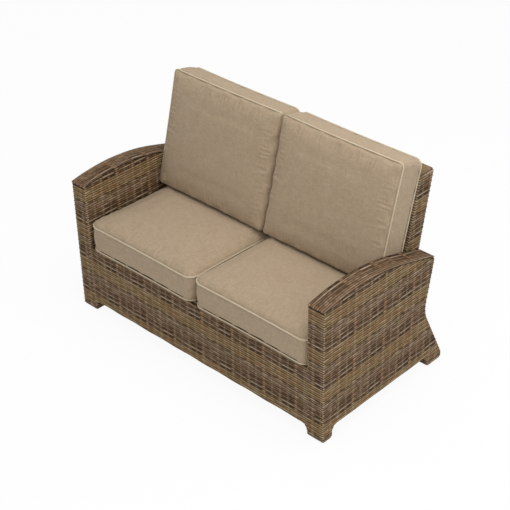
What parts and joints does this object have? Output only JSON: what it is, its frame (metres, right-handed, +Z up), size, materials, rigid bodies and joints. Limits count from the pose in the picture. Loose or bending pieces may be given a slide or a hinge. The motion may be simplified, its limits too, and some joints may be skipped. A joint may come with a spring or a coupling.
{
  "type": "patio loveseat",
  "caption": "Patio loveseat: arched woven wicker arms, a raked woven back and a woven apron on short feet, with loose piped seat and back cushions to sit on and lean against.",
  "frame": {"origin": "on the floor, in the middle of the footprint", "axes": "+X across the seat, to the right of a person who faces it; +Y from the front to the back; +Z up"},
  "size_m": [1.37, 0.735, 0.957],
  "materials": {
    "tube": "powder coated dark brown",
    "wicker": "woven resin strands in streaked olive tan, grey brown and dark brown",
    "glide": "moulded",
    "cover": "plain woven beige outdoor cloth",
    "welt": "covered cord piping, a little lighter than the cover",
    "foam": "open cell foam",
    "zip": "coil zip with a small slider"
  },
  "bodies": {
    "frame": {"back_base_rails": "tube", "back_centre_stiles": "tube", "back_left_stiles": "tube", "back_right_stiles": "tube", "back_spacers": "tube", "back_top_rails": "tube", "back_weave": "wicker", "front_apron_weave": "wicker", "front_lower_rail": "tube", "front_uprights": "tube", "left_arm_cap_weave": "wicker", "left_arm_front_posts": "tube", "left_arm_lower_rails": "tube", "left_arm_rear_legs": "tube", "left_arm_spacers": "tube", "left_arm_top_tubes": "tube", "left_arm_weave": "wicker", "left_front_glides": "glide", "left_rear_glides": "glide", "rear_apron_weave": "wicker", "rear_lower_rail": "tube", "rear_uprights": "tube", "right_arm_cap_weave": "wicker", "right_arm_front_posts": "tube", "right_arm_lower_rails": "tube", "right_arm_rear_legs": "tube", "right_arm_spacers": "tube", "right_arm_top_tubes": "tube", "right_arm_weave": "wicker", "right_front_glides": "glide", "right_rear_glides": "glide", "seat_centre_rail": "tube", "seat_deck_weave": "wicker", "seat_front_rail": "tube", "seat_left_side_rail": "tube", "seat_rear_rail": "tube", "seat_right_side_rail": "tube", "seat_slats": "tube"},
    "left_seat_cushion": {"left_seat_cushion_cover": "cover", "left_seat_cushion_foam": "foam", "left_seat_cushion_welts": "welt", "left_seat_cushion_zip": "zip"},
    "left_back_cushion": {"left_back_cushion_cover": "cover", "left_back_cushion_foam": "foam", "left_back_cushion_welts": "welt", "left_back_cushion_zip": "zip"},
    "right_seat_cushion": {"right_seat_cushion_cover": "cover", "right_seat_cushion_foam": "foam", "right_seat_cushion_welts": "welt", "right_seat_cushion_zip": "zip"},
    "right_back_cushion": {"right_back_cushion_cover": "cover", "right_back_cushion_foam": "foam", "right_back_cushion_welts": "welt", "right_back_cushion_zip": "zip"}
  },
  "joints": [
    {"name": "left_seat_cushion_lift_off", "type": "slide", "parent": "frame", "child": "left_seat_cushion", "axis": [0, -1, 0], "range_m": [0, 0.54]},
    {"name": "left_back_cushion_lift_off", "type": "slide", "parent": "frame", "child": "left_back_cushion", "axis": [0, 0, 1], "range_m": [0, 0.53]},
    {"name": "right_seat_cushion_lift_off", "type": "slide", "parent": "frame", "child": "right_seat_cushion", "axis": [0, -1, 0], "range_m": [0, 0.54]},
    {"name": "right_back_cushion_lift_off", "type": "slide", "parent": "frame", "child": "right_back_cushion", "axis": [0, 0, 1], "range_m": [0, 0.53]}
  ]
}
